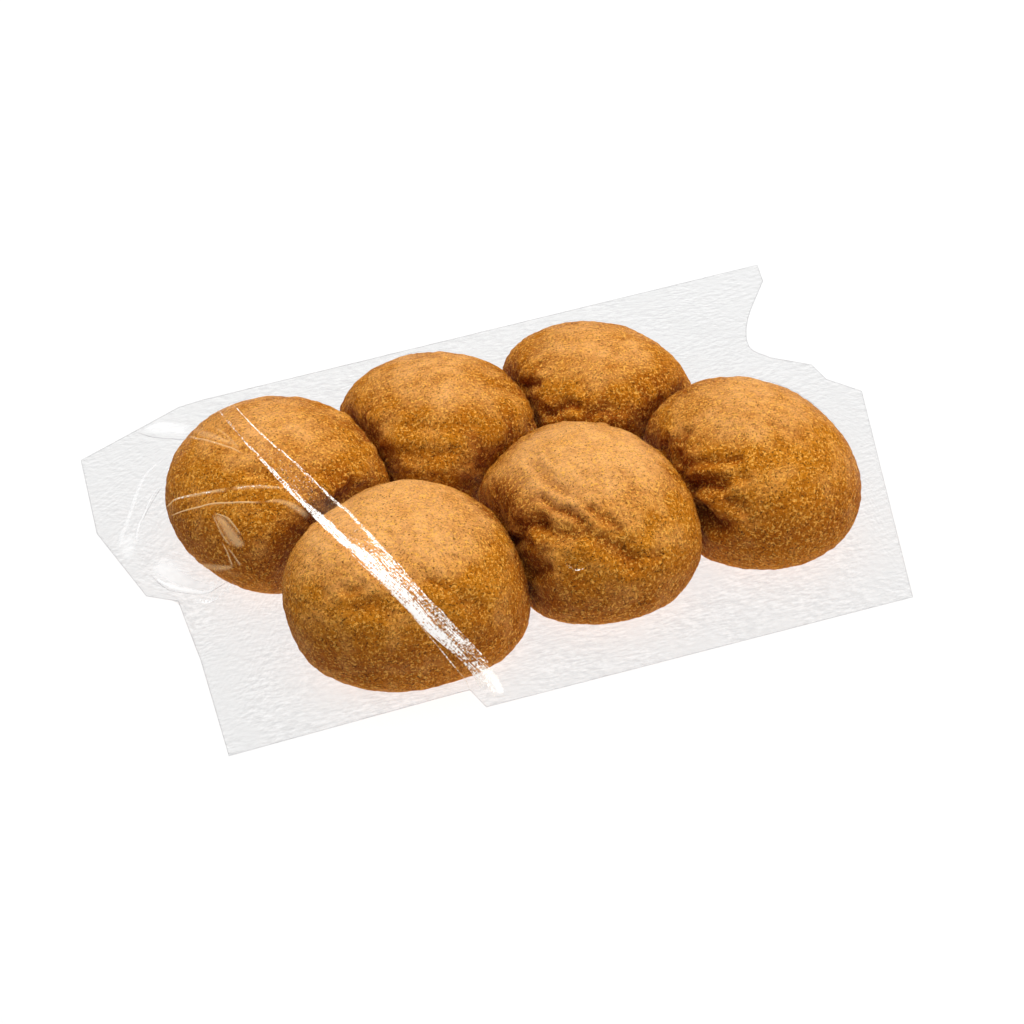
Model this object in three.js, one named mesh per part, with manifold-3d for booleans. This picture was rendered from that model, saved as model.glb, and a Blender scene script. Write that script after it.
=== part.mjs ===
// Bagged wholemeal rolls: six round rolls in two rows of three, shut in a clear film bag.
// Units are millimetres and z points up. x runs along the near edge of the bag, the bag lies
// on z = 0, and the origin is under the middle of its outline.
//
// The bag is one closed body. Its upper sheet is pulled taut over the rolls, its lower sheet
// runs under them, and the two meet in a thin margin all round. Both sheets are worked out
// the same way: a stretched sheet is pinned along the edge of the bag and pressed by the rolls.
import * as THREE from "three";
import { mergeVertices } from "three/addons/utils/BufferGeometryUtils.js";
import Module from "manifold-3d";

// The rolls. radius is the mean radius at the waist, the widest level, which lies at the share
// waist of the height. crown and belly are the exponents of the rounding above and below it.
// A roll is stretched by the share stretch along the direction turn (degrees from x), and its
// crown is shifted from its waist by lean.
const ROLLS = [
  // near row, left to right
  { x: -57, y: -53, radius: 43, height: 55, waist: 0.34, stretch: 0.09, turn: 19,
    lean: [-10, 3], crown: 2.36, belly: 2.6 },
  { x: 16, y: -39, radius: 45, height: 55, waist: 0.36, stretch: 0.02, turn: 106,
    lean: [-1, 2], crown: 2.07, belly: 2.0 },
  { x: 86, y: -29, radius: 45, height: 54, waist: 0.36, stretch: 0.06, turn: 112,
    lean: [-1, 0], crown: 2.07, belly: 2.0 },
  // far row, left to right
  { x: -90, y: 14, radius: 46, height: 53, waist: 0.41, stretch: 0.05, turn: 103,
    lean: [-1, 0], crown: 2.04, belly: 2.0 },
  { x: -22, y: 30, radius: 43, height: 50, waist: 0.38, stretch: 0.02, turn: -42,
    lean: [0, 0], crown: 2.15, belly: 2.2 },
  { x: 45, y: 34, radius: 42, height: 49, waist: 0.39, stretch: 0.04, turn: -48,
    lean: [0, 0], crown: 2.08, belly: 2.2 },
];
const FOOT = 0.6; // flat foot of a roll, as a share of its radius
const AIR = 0.8; // between a roll's crown and the film

// The edge of the bag from above, anticlockwise, with the height of the film at each point.
const NEAR_EDGE = [
  [-136, -96, 1.5], // near left corner, flat on the ground
  [-49, -100, 11], // the edge steps out by 10 mm where the pleat ends in a small tab
  [-46, -110, 11],
  [128, -97, 3],
];
const RIGHT_END = [
  [162, 20, 10],
  [150, 30, 12],
  [147, 39, 14],
];
const NECK = [ // the curved notch between the end and the far corner
  [131, 47, 16],
  [125, 56, 17],
  [132, 74, 18],
  [149, 97, 20],
];
const FAR_EDGE = [ // the far fold stands at a third of the rolls' height
  [152, 110, 20],
  [-106, 91, 17],
  [-117, 89, 17],
];
const LEFT_FLAP = [ // the left end sticks out in the air
  [-161, 66, 17],
  [-162, 19, 17],
  [-150, -20, 15],
  [-139, -23, 12],
];
const LEFT_MARGIN = [ // the lower sheet, flat on the ground
  [-137, -31, 2],
  [-136, -46, 1.5],
];
// Between these two lines the film drops from the flap's lower fold to the lower sheet.
const FLAP_FOLD = [[-139, -23, 12], [-112, -36, 12]];
const FLAP_FOOT = [[-137, -31, 2], [-112, -45, 3]];
const FLAP_DROP = 12; // a little more than the lines' distance

// The pleat: a narrow raised fold that runs from the far fold over two rolls to the tab.
const PLEAT = [
  [-106, 91], [-104, 43], [-93, -11], [-84, -44], [-74, -72], [-60, -88], [-41, -100], [-44, -109],
];
const PLEAT_WIDTH = 12;
const PLEAT_HEIGHT = 1.6;

const MARGIN = 1.5; // both sheets and the air between them, at the edge
const TOP_STEP = 4; // facets of the upper sheet
const UNDER_STEP = 8; // facets of the lower sheet
const GROUND_LIFT = 0.6; // lower sheet closer to the ground than this lies on it
const REACH = 12; // how far the sheets are worked out past the edge of the bag
const ROUNDS = 400; // in which a stretched sheet settles
const VALLEY_PULL = 0.06; // how strongly the film is drawn in between the rolls, for each mm
const PULL = 1.8; // over-relaxation, for fewer rounds
const SKY = 90; // flat levels well above and below the bag, for cutting it out
const DEEP = -30;

const film = new THREE.MeshStandardMaterial({ color: 0xc98a42, roughness: 0.35, metalness: 0 });

const wasm = await Module();
wasm.setup();

// ---- the edge of the bag ----

function smooth(points, pieces) {
  const curve = new THREE.CatmullRomCurve3(points.map((p) => new THREE.Vector3(...p)));
  return curve.getPoints(pieces).map((p) => p.toArray());
}

const EDGE = [
  ...NEAR_EDGE, ...RIGHT_END, ...smooth(NECK, 12), ...FAR_EDGE, ...LEFT_FLAP, ...LEFT_MARGIN,
];

// The point of a line of 3-D points that is nearest in plan: its distance and its height.
function nearestOn(line, x, y, closed) {
  const best = { distance: Infinity, height: 0 };
  const pieces = closed ? line.length : line.length - 1;
  for (let i = 0; i < pieces; i += 1) {
    const [ax, ay, az = 0] = line[i];
    const [bx, by, bz = 0] = line[(i + 1) % line.length];
    const run = ((x - ax) * (bx - ax) + (y - ay) * (by - ay)) / ((bx - ax) ** 2 + (by - ay) ** 2);
    const share = THREE.MathUtils.clamp(run, 0, 1);
    const distance = Math.hypot(x - ax - share * (bx - ax), y - ay - share * (by - ay));
    if (distance < best.distance) {
      best.distance = distance;
      best.height = THREE.MathUtils.lerp(az, bz, share);
    }
  }
  return best;
}

function isInside(line, x, y) {
  let inside = false;
  line.forEach(([ax, ay], i) => {
    const [bx, by] = line[(i + 1) % line.length];
    const crosses = ay > y !== by > y && x < ax + ((y - ay) / (by - ay)) * (bx - ax);
    if (crosses) inside = !inside;
  });
  return inside;
}

// ---- the rolls that press on the sheets ----

// Distance from the roll's axis at height z, as a share of the roll's radius that way.
function reachOf(roll, x, y, z) {
  const rise = z / roll.height - roll.waist;
  const dx = x - roll.x - roll.lean[0] * rise;
  const dy = y - roll.y - roll.lean[1] * rise;
  const angle = Math.atan2(dy, dx) - THREE.MathUtils.degToRad(roll.turn);
  return Math.hypot(dx, dy) / (roll.radius * (1 + roll.stretch * Math.cos(2 * angle)));
}

// Height of a roll's crown over a point, or 0 past its waist. The lean makes the reach depend
// on the height, so the two are worked out in turn.
function crownOver(roll, x, y) {
  const waist = roll.waist * roll.height;
  let z = roll.height;
  for (let pass = 0; pass < 6; pass += 1) {
    const reach = reachOf(roll, x, y, z);
    if (reach >= 1) return 0;
    z = waist + (roll.height - waist) * (1 - reach ** roll.crown) ** (1 / roll.crown);
  }
  return z + AIR;
}

// Height of a roll's belly over a point of the ground: 0 on its foot.
function bellyOver(roll, x, y) {
  const waist = roll.waist * roll.height;
  const reach = reachOf(roll, x, y, waist / 2);
  if (reach >= 1) return Infinity;
  const share = Math.max(0, (reach - FOOT) / (1 - FOOT));
  return waist * (1 - (1 - share ** roll.belly) ** (1 / roll.belly));
}

// ---- a stretched sheet ----

// A grid of heights over the bag. pinOf gives a node's fixed height or undefined, pressOf holds
// a free node to its side of the rolls, and pullOf says how strongly it is drawn down.
function stretchSheet(step, pinOf, pressOf, pullOf = () => 0) {
  const xs = EDGE.map((p) => p[0]);
  const ys = EDGE.map((p) => p[1]);
  const left = Math.min(...xs) - REACH;
  const near = Math.min(...ys) - REACH;
  const columns = Math.ceil((Math.max(...xs) + REACH - left) / step) + 1;
  const rows = Math.ceil((Math.max(...ys) + REACH - near) / step) + 1;
  const nodes = [];
  for (let j = 0; j < rows; j += 1) {
    for (let i = 0; i < columns; i += 1) {
      const x = left + i * step;
      const y = near + j * step;
      const onRim = i === 0 || j === 0 || i === columns - 1 || j === rows - 1;
      const pin = onRim ? nearestOn(EDGE, x, y, true).height : pinOf(x, y, step);
      const dip = (pullOf(x, y) * step ** 2) / 4;
      nodes.push({ x, y, z: pressOf(x, y, pin ?? 0), pin, dip });
    }
  }
  for (let round = 0; round < ROUNDS; round += 1) {
    nodes.forEach((node, n) => {
      if (node.pin !== undefined) return;
      const sides = [nodes[n - 1], nodes[n + 1], nodes[n - columns], nodes[n + columns]];
      const mean = sides.reduce((sum, side) => sum + side.z, 0) / 4 - node.dip;
      node.z = pressOf(node.x, node.y, node.z + PULL * (mean - node.z));
    });
  }
  return { nodes, columns, rows };
}

// The height that a node is pinned to, if any: the edge's on and outside the edge, and under
// the flap's fold a height on the slope, of which a sheet takes the share drop.
function pinTo(x, y, step, drop) {
  const edge = nearestOn(EDGE, x, y, true);
  if (!isInside(EDGE, x, y) || edge.distance < step / 2) return edge.height;
  const fold = nearestOn(FLAP_FOLD, x, y, false);
  const foot = nearestOn(FLAP_FOOT, x, y, false);
  if (fold.distance + foot.distance > FLAP_DROP) return undefined;
  const share = foot.distance / (fold.distance + foot.distance);
  return THREE.MathUtils.lerp(foot.height, fold.height, drop * share);
}

// ---- solids ----

function solidOf(geometry) {
  const bare = new THREE.BufferGeometry()
    .setAttribute("position", geometry.getAttribute("position"))
    .setIndex(geometry.index);
  const merged = mergeVertices(bare, 1e-4);
  return new wasm.Manifold(
    new wasm.Mesh({
      numProp: 3,
      vertProperties: merged.attributes.position.array,
      triVerts: new Uint32Array(merged.index.array),
    }),
  );
}

// The solid between a sheet and a flat level below or above it.
function blockFrom({ nodes, columns, rows }, level) {
  const points = nodes.map(({ x, y, z }) => [x, y, z]);
  points.push(...nodes.map(({ x, y }) => [x, y, level]));
  const flat = nodes.length;
  const faces = [];
  const quad = (a, b, c, d) => faces.push(a, b, c, a, c, d);
  for (let j = 0; j < rows - 1; j += 1) {
    for (let i = 0; i < columns - 1; i += 1) {
      const a = j * columns + i;
      const [b, c, d] = [a + 1, a + 1 + columns, a + columns];
      quad(a, b, c, d);
      quad(flat + d, flat + c, flat + b, flat + a);
    }
  }
  for (let i = 0; i < columns - 1; i += 1) {
    const far = (rows - 1) * columns + i;
    quad(flat + i, flat + i + 1, i + 1, i);
    quad(far, far + 1, flat + far + 1, flat + far);
  }
  for (let j = 0; j < rows - 1; j += 1) {
    const a = j * columns;
    const right = a + columns - 1;
    quad(a, a + columns, flat + a + columns, flat + a);
    quad(flat + right, flat + right + columns, right + columns, right);
  }
  if (level > nodes[0].z) faces.reverse();
  const geometry = new THREE.BufferGeometry()
    .setAttribute("position", new THREE.Float32BufferAttribute(points.flat(), 3))
    .setIndex(faces);
  return solidOf(geometry);
}

// ---- the bag ----

const under = stretchSheet(
  UNDER_STEP,
  (x, y, step) => {
    const pin = pinTo(x, y, step, 0);
    return pin === undefined ? undefined : Math.max(0, pin - MARGIN);
  },
  (x, y, z) => Math.max(0, Math.min(z, ...ROLLS.map((roll) => bellyOver(roll, x, y)))),
);
under.nodes.forEach((node) => {
  node.z = Math.max(0, node.z - GROUND_LIFT);
});

// The film dips a little between the rolls, so that each roll shows. The ring joins their middles.
const RING = [0, 1, 2, 5, 4, 3].map((i) => [ROLLS[i].x, ROLLS[i].y]);

const upper = stretchSheet(
  TOP_STEP,
  (x, y, step) => pinTo(x, y, step, 1),
  (x, y, z) => Math.max(z, ...ROLLS.map((roll) => crownOver(roll, x, y))),
  (x, y) => (isInside(RING, x, y) ? VALLEY_PULL : 0),
);
upper.nodes.forEach((node) => {
  const off = nearestOn(PLEAT, node.x, node.y, false).distance / (PLEAT_WIDTH / 2);
  if (off < 1) node.z += PLEAT_HEIGHT * (1 - off * off);
});

const outline = new THREE.Shape(EDGE.map(([x, y]) => new THREE.Vector2(x, y)));
const prism = new THREE.ExtrudeGeometry(outline, { depth: SKY - DEEP, bevelEnabled: false });
prism.translate(0, 0, DEEP);

const between = blockFrom(upper, DEEP).intersect(blockFrom(under, SKY));
const body = between.intersect(solidOf(prism));
const made = body.getMesh();
const geometry = new THREE.BufferGeometry()
  .setAttribute("position", new THREE.BufferAttribute(made.vertProperties, 3))
  .setIndex(new THREE.BufferAttribute(made.triVerts, 1));
geometry.computeVertexNormals();

const bag = new THREE.Mesh(geometry, film);
bag.name = "bag";

const group = new THREE.Group();
group.add(bag);

export default group;
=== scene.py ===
# %% [markdown]
# # Wholemeal rolls in a clear film bag
#
# Six soft rolls lie in two rows of three and touch each other. They were baked apart and packed
# warm, so their skins are wrinkled where one roll presses on the next. The bag is a tube of thin
# polypropylene film, drawn taut over the rolls. Round them it lies as a flat, double margin, its
# left end sticks out as a loose flap, and a pleat runs across it at a slant.
#
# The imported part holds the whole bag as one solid. This lesson puts the real things in its place:
# first the rolls, then the film that is stretched over them, and last the creases in the film.

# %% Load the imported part
import math
from functools import partial
from itertools import combinations

import bmesh
import bpy
import numpy as np
from mathutils import Matrix, Vector, noise
from mathutils.bvhtree import BVHTree


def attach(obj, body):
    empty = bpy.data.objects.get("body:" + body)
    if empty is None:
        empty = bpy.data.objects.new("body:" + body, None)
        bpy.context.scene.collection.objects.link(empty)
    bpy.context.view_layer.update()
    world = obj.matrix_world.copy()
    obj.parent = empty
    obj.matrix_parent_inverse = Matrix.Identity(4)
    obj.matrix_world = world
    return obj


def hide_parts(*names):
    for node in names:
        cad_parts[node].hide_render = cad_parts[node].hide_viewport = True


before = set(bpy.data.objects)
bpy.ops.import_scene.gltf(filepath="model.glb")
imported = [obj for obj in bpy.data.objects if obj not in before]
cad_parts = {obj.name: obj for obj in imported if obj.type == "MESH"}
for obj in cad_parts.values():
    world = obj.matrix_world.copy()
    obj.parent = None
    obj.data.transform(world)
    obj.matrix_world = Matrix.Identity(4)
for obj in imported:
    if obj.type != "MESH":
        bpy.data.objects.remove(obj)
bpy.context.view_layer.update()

MM = 0.001

# %% [markdown]
# ## The sizes of the rolls
#
# No two rolls are alike, so each has its own line of sizes. A roll is widest at its waist, about
# a third of the way up, with a round crown above it and a belly that turns in to a flat foot below.
# From above it is nearly round: a little stretched, and a little three-cornered. One crown leans
# over, and on two rolls the painted sheen and shade of the crust sit lower, so they look lighter.
#
# A camera fitted to the outlines in the photo gave these numbers. The part's solid has the same.

# %% Sizes of the rolls in millimetres and degrees
SIZES = "x y radius height waist stretch turn corner corner_turn lean crown belly paler".split()
ROLLS = {
    "roll_near_left": (-57, -53, 43, 55, 0.34, 0.09, 19, 0.03, -47, (-10, 3), 2.36, 2.6, 0.11),
    "roll_near_middle": (16, -39, 45, 55, 0.36, 0.02, 106, 0.02, -166, (-1, 2), 2.07, 2.0, 0.13),
    "roll_near_right": (86, -29, 45, 54, 0.36, 0.06, 112, 0.01, -54, (-1, 0), 2.07, 2.0, 0),
    "roll_far_left": (-90, 14, 46, 53, 0.41, 0.05, 103, 0.01, 60, (-1, 0), 2.04, 2.0, 0),
    "roll_far_middle": (-22, 30, 43, 50, 0.38, 0.02, -42, 0.0, 0, (0, 0), 2.15, 2.2, 0),
    "roll_far_right": (45, 34, 42, 49, 0.39, 0.04, -48, 0.01, -168, (0, 0), 2.08, 2.2, 0),
}
ROLLS = {name: dict(zip(SIZES, sizes)) for name, sizes in ROLLS.items()}
FOOT = 0.6         # flat foot of a roll, as a share of its radius
BELLY_END = 0.62   # tilt at which the belly ends and the foot begins, as a share of straight down
ROLL_LEVEL = 0.5   # the rolls lie this high, on the lower sheet of the bag
KISS_GAP = 0.4     # left between two rolls that press on each other
width = 2 * np.mean([roll["radius"] for roll in ROLLS.values()])
print(len(ROLLS), "rolls,", round(width), "mm across on average")

# %% [markdown]
# ## The shape of a roll
#
# A roll could be sculpted by hand, but six of them that fit together are easier to make by rule.
# Each one starts as an icosphere, because its triangles are alike all over and it has no poles.
# Every vertex's direction from the centre is read as an angle round the roll and a tilt up or
# down, and these two give its place on the roll.

# %% Move the vertices of a ball onto a roll
def roll_places(directions, roll):
    """Places in millimetres, one for each unit vector from the centre of the ball."""
    around = np.arctan2(directions[:, 1], directions[:, 0])
    tilt = np.arcsin(np.clip(directions[:, 2], -1, 1))
    waist = roll["waist"] * roll["height"]
    crown_reach = np.cos(tilt) ** (2 / roll["crown"])
    crown_level = waist + (roll["height"] - waist) * np.abs(np.sin(tilt)) ** (2 / roll["crown"])
    curve_end = BELLY_END * math.pi / 2
    bend = np.clip(-tilt / curve_end, 0, 1) * math.pi / 2
    belly_reach = FOOT + (1 - FOOT) * np.cos(bend) ** (2 / roll["belly"])
    belly_level = waist - waist * np.sin(bend) ** (2 / roll["belly"])
    on_foot = np.clip((-tilt - curve_end) / (math.pi / 2 - curve_end), 0, 1)
    reach = np.where(tilt >= 0, crown_reach, belly_reach * (1 - on_foot))
    level = np.where(tilt >= 0, crown_level, belly_level)
    ring = (1 + roll["stretch"] * np.cos(2 * (around - math.radians(roll["turn"])))
            + roll["corner"] * np.cos(3 * (around - math.radians(roll["corner_turn"]))))
    rise = level / roll["height"] - roll["waist"]
    return np.stack([
        roll["x"] + roll["lean"][0] * rise + roll["radius"] * ring * reach * np.cos(around),
        roll["y"] + roll["lean"][1] * rise + roll["radius"] * ring * reach * np.sin(around),
        level + ROLL_LEVEL,
    ], axis=1)


# %% [markdown]
# ## Where the rolls touch
#
# Soft rolls flatten where they press on each other. What stands past a plane between two rolls is
# pushed back to it, by a smooth minimum, so that the edge of the flat patch is rounded. The roll
# that is listed first keeps more of its round form.

# %% Find the pairs of rolls that touch
KEEPS_FORM = 0.56   # share of the way between two centres that the first roll of a pair takes
contacts = {name: [] for name in ROLLS}
for first, second in combinations(ROLLS, 2):
    a, b = ROLLS[first], ROLLS[second]
    apart = math.hypot(b["x"] - a["x"], b["y"] - a["y"])
    if apart < a["radius"] + b["radius"]:
        towards = np.array([(b["x"] - a["x"]) / apart, (b["y"] - a["y"]) / apart, 0.0])
        contacts[first].append((towards, KEEPS_FORM * apart))
        contacts[second].append((-towards, (1 - KEEPS_FORM) * apart))
        print(first, "presses on", second, "- centres", round(apart), "mm apart")

# %% Flatten a roll where its neighbours press on it
PATCH_ROUNDING = 2.2   # how softly a flat patch begins, in millimetres


def press_flat(places, roll, touches):
    """The places, pushed back where they stand past the plane between two rolls."""
    centre = np.array([roll["x"], roll["y"], 0.0])
    for towards, share in touches:
        out = (places - centre) @ towards
        limit = share - KISS_GAP / 2
        held = -PATCH_ROUNDING * np.logaddexp(-out / PATCH_ROUNDING, -limit / PATCH_ROUNDING)
        places = places + np.outer(held - out, towards) * (out > 0)[:, None]
    return places


# %% [markdown]
# ## The skin of a roll
#
# The skin of a soft roll shrinks as the roll cools. It has broad, shallow dents, and fine folds
# that run out from each place where the roll is pressed. Both are real relief here, because they
# change the outline and catch the light. The finer grain of the bran is left to the material.

# %% Dents and folds in the skin
DENT_WIDTH, DENT_DEPTH = 17.0, 0.6
WRINKLE_WIDTH, WRINKLE_DEPTH = 8.0, 0.32
FOLD_WIDTH, FOLD_DEPTH = 5.5, 0.5
FOLD_REACH, FOLD_PEAK = 26.0, 16.0   # how far folds run out from a contact, and are deepest
FAN_ROUND, FAN_OUT = 14, 0.28        # scales of their noise, round the contact and away from it
GRAIN_WIDTH, GRAIN_DEPTH = 3.0, 0.24


def noise_at(places, width, shift, octaves):
    """Smooth noise from -1 to 1 at places in millimetres, with features of about that width."""
    return np.array([
        noise.fractal(Vector(place) / width + shift, 1.0, 2.0, octaves) for place in places
    ])


def skin_relief(places, roll, touches, seed):
    """Relief in millimetres, and from 0 to 1 how deep in a fold each place is."""
    shift = Vector((seed * 7.3, seed * 3.1, seed * 11.7))
    relief = DENT_DEPTH * noise_at(places, DENT_WIDTH, shift, 2)
    relief += GRAIN_DEPTH * noise_at(places, GRAIN_WIDTH, shift, 3)
    wrinkles = np.clip(1 - 3 * np.abs(noise_at(places, WRINKLE_WIDTH, shift * 2, 2)), 0, 1)
    relief -= WRINKLE_DEPTH * wrinkles
    depth = 0.25 * wrinkles
    centre = np.array([roll["x"], roll["y"], 0.0])
    for towards, share in touches:
        touch = centre + towards * share + np.array([0, 0, 0.45 * roll["height"]])
        away = places - touch
        distance = np.linalg.norm(away, axis=1)
        side = np.cross(towards, [0, 0, 1])
        around = np.arctan2(away[:, 2], away @ side)
        # Folds fan out from the contact: the noise is read in turns and distance, not in place.
        fan = np.stack([around * FAN_ROUND, distance * FAN_OUT, np.full(len(places), share)],
                       axis=1)
        folds = 1 - 2 * np.abs(noise_at(fan, FOLD_WIDTH, shift, 2))
        strength = np.exp(-((distance - FOLD_PEAK) / FOLD_REACH * 2) ** 2)
        relief -= FOLD_DEPTH * strength * np.clip(folds, -0.4, 1)
        depth = np.maximum(depth, strength * np.clip(folds, 0, 1))
    return relief, depth


# %% [markdown]
# ## The creases that each roll has of its own
#
# A rule can't say where the skin of one roll folded. The deepest creases and pits were read off
# the photo, as lines of places on the skin. Each place is first moved to the nearest vertex. Then a
# groove is pressed in along the line, with a low swelling on both sides, as in a folded skin.

# %% Creases: depth, half width and the line, all in millimetres
SKIN_CREASES = {"roll_near_left": [
    (0.9, 2.6, (-57, -79, 47), (-53, -81, 46), (-50, -81, 45)),
    (0.9, 3.0, (-47, -84, 40), (-44, -84, 37), (-40, -85, 35)),
    (0.7, 1.8, (-86, -73, 47), (-84, -75, 46), (-81, -76, 48)),
    (0.8, 3.2, (-84, -79, 43), (-78, -81, 44), (-73, -84, 42)),
], "roll_near_middle": [
    (1.7, 1.6, (-5, -52, 50), (-2, -57, 48), (1, -60, 48), (3, -62, 47), (5, -65, 47)),
    (1.3, 2.0, (9, -63, 49), (11, -66, 48), (14, -68, 46), (17, -71, 45)),
    (2.2, 2.6, (-14, -52, 37), (-12, -56, 42), (-8, -59, 44)),
    (1.8, 2.0, (-15, -45, 26), (-14, -51, 32), (-13, -60, 37)),
    (1.4, 2.6, (-8, -61, 44), (-4, -66, 44), (1, -68, 44), (6, -69, 45)),
    (1.6, 3.4, (10, -73, 43), (14, -75, 41), (17, -77, 39), (19, -79, 36)),
    (0.9, 2.6, (-3, -34, 53), (-2, -42, 53), (0, -49, 52), (3, -53, 52)),
    (0.6, 1.3, (3, -31, 54), (3, -35, 54), (4, -40, 54)),
    (1.0, 2.0, (27, -78, 36), (30, -78, 34)),
    (1.4, 2.4, (-13, -61, 22), (-11, -66, 28), (-9, -69, 32)),
], "roll_near_right": [
    (3.0, 2.4, (57, -44, 33), (59, -49, 38), (61, -53, 40), (64, -56, 41)),
    (3.0, 3.2, (59, -52, 28), (60, -56, 27), (61, -60, 27), (62, -63, 28)),
    (1.6, 2.0, (60, -29, 48), (58, -31, 46), (56, -33, 44), (55, -34, 38)),
    (1.2, 1.6, (54, -23, 42), (54, -22, 35)),
    (1.3, 2.0, (56, -37, 34), (57, -41, 41), (60, -43, 44), (65, -47, 46), (72, -51, 48)),
    (0.8, 1.8, (57, -41, 35), (60, -49, 41), (64, -53, 43), (72, -58, 45)),
    (0.8, 2.2, (90, -40, 54), (95, -44, 52), (100, -47, 50)),
    (1.0, 2.0, (63, -59, 37), (66, -62, 37), (69, -65, 36)),
], "roll_far_left": [
    (0.9, 2.6, (-104, -3, 50), (-100, -5, 49), (-96, -9, 48)),
    (0.8, 2.4, (-81, -9, 49), (-77, -10, 47), (-73, -12, 45)),
    (1.2, 2.2, (-78, -16, 37), (-71, -13, 38), (-68, -11, 41)),
    (1.0, 2.2, (-56, 27, 39), (-52, 28, 33), (-50, 19, 35)),
], "roll_far_middle": [
    (0.7, 2.4, (-42, 13, 45), (-35, 9, 45), (-26, 6, 45), (-15, 4, 44)),
    (0.8, 2.6, (-47, 9, 36), (-41, 3, 38), (-34, -1, 39), (-27, -3, 39)),
], "roll_far_right": [
    (1.8, 2.0, (16, 35, 35), (17, 30, 39), (19, 27, 41)),
    (2.0, 2.0, (18, 16, 35), (20, 12, 37), (24, 12, 39), (27, 10, 41), (30, 9, 40)),
    (0.9, 2.4, (34, 6, 38), (40, 5, 39), (45, 3, 40)),
]}
print(sum(len(creases) for creases in SKIN_CREASES.values()), "creases of their own")


# %% Press the creases into the skin
def distance_to_line(places, line):
    """Distance in space from each place to the line."""
    best = np.full(len(places), np.inf)
    for a, b in zip(line, line[1:]):
        if (a == b).all():
            continue
        run = np.clip((places - a) @ (b - a) / ((b - a) @ (b - a)), 0, 1)
        best = np.minimum(best, np.linalg.norm(places - a - np.outer(run, b - a), axis=1))
    return best


WANDER, WANDER_WIDTH = 0.9, 4.5   # how far a groove strays from its line, in bends of that width
SWELL, SWELL_AWAY = 0.4, 2.1      # the swelling's height in depths, and its place in half widths


def crease_relief(places, creases, seed):
    """Relief in millimetres, and from 0 to 1 how deep in a crease each place is."""
    shift = Vector((seed * 5.1, seed * 9.7, seed * 2.3))
    wander = WANDER * noise_at(places, WANDER_WIDTH, shift, 2)
    relief, depth = np.zeros(len(places)), np.zeros(len(places))
    for deep, width, *line in creases:
        line = np.array([places[np.argmin(np.linalg.norm(places - place, axis=1))]
                         for place in np.array(line, dtype=float)])
        away = np.abs(distance_to_line(places, line) + wander)
        groove = np.exp(-(away / width) ** 2)
        swelling = np.exp(-((away - SWELL_AWAY * width) / width) ** 2)
        relief += deep * (SWELL * swelling - groove)
        depth = np.maximum(depth, min(1.0, deep / 2) * groove)
    return relief, depth


# %% [markdown]
# ## Make the rolls
#
# One loop makes the six rolls. The relief is added along the normals of the pressed shape, and
# fades out on the foot, so that each roll stands flat.

# %% Helpers that finish a piece
def new_piece(name, bm):
    mesh = bpy.data.meshes.new(name)
    bm.to_mesh(mesh)
    bm.free()
    mesh.shade_smooth()
    piece = bpy.data.objects.new(name, mesh)
    bpy.context.scene.collection.objects.link(piece)
    return piece


def finish_part(name, bm):
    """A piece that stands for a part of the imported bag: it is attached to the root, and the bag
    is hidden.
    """
    piece = new_piece(name, bm)
    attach(piece, "root")
    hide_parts("bag")
    print(name, "has", len(piece.data.polygons), "faces")
    return piece


# %% Build the six rolls
BALL_DETAIL = 7     # 81920 triangles
FOOT_FADE = 6       # the relief reaches its full depth this far above the foot
SHEEN_TURN = 0.09   # how far the painted sheen on the crown is turned towards the far side, where the light is


def make_roll(name, roll, seed):
    bm = bmesh.new()
    bmesh.ops.create_icosphere(bm, subdivisions=BALL_DETAIL, radius=1)
    directions = np.array([vertex.co for vertex in bm.verts])
    places = press_flat(roll_places(directions, roll), roll, contacts[name])
    for vertex, place in zip(bm.verts, places):
        vertex.co = place
    bm.normal_update()
    normals = np.array([vertex.normal for vertex in bm.verts])
    above_foot = np.clip((places[:, 2] - ROLL_LEVEL) / FOOT_FADE, 0, 1)
    relief, depth = skin_relief(places, roll, contacts[name], seed)
    creases, crease_depth = crease_relief(places, SKIN_CREASES[name], seed)
    relief, depth = relief + creases, np.maximum(depth, crease_depth)
    places = places + normals * (relief * above_foot)[:, None]
    # The fold attribute says where shade is painted into the folds of the crust.
    fold = bm.verts.layers.float.new("fold")
    crown = bm.verts.layers.float.new("crown")
    for vertex, place, deep in zip(bm.verts, places, depth):
        vertex.co = Vector(place) * MM
        vertex[fold] = deep
        # The crown attribute carries painted light and shade: a sheen on top, turned towards the
        # far side where the light is, and shade down the sides. On two rolls it is raised, so they
        # look lighter.
        turned = SHEEN_TURN * (place[1] - roll["y"]) / roll["height"]
        vertex[crown] = place[2] / roll["height"] + turned + roll["paler"]
    return finish_part(name, bm)


rolls = [make_roll(name, roll, seed) for seed, (name, roll) in enumerate(ROLLS.items(), 1)]

# %% [markdown]
# ## The edge of the bag
#
# The bag's outline is the one of the part's solid: a long near edge with a small step where the
# pleat ends, a slanting right end with a curved notch, the straight far fold, and the loose flap
# on the left. The third number is the height of the film there.

# %% The outline of the bag in millimetres
def smooth_line(points, pieces):
    """A Catmull-Rom curve through the points, with that many pieces between two of them."""
    line = [np.array(p, dtype=float) for p in points]
    line = [2 * line[0] - line[1], *line, 2 * line[-1] - line[-2]]
    made = []
    for a, b, c, d in zip(line, line[1:], line[2:], line[3:]):
        for t in np.arange(pieces) / pieces:
            made.append(0.5 * (2 * b + (c - a) * t + (2 * a - 5 * b + 4 * c - d) * t ** 2
                               + (3 * b - a - 3 * c + d) * t ** 3))
    return [*made, line[-2]]


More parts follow.
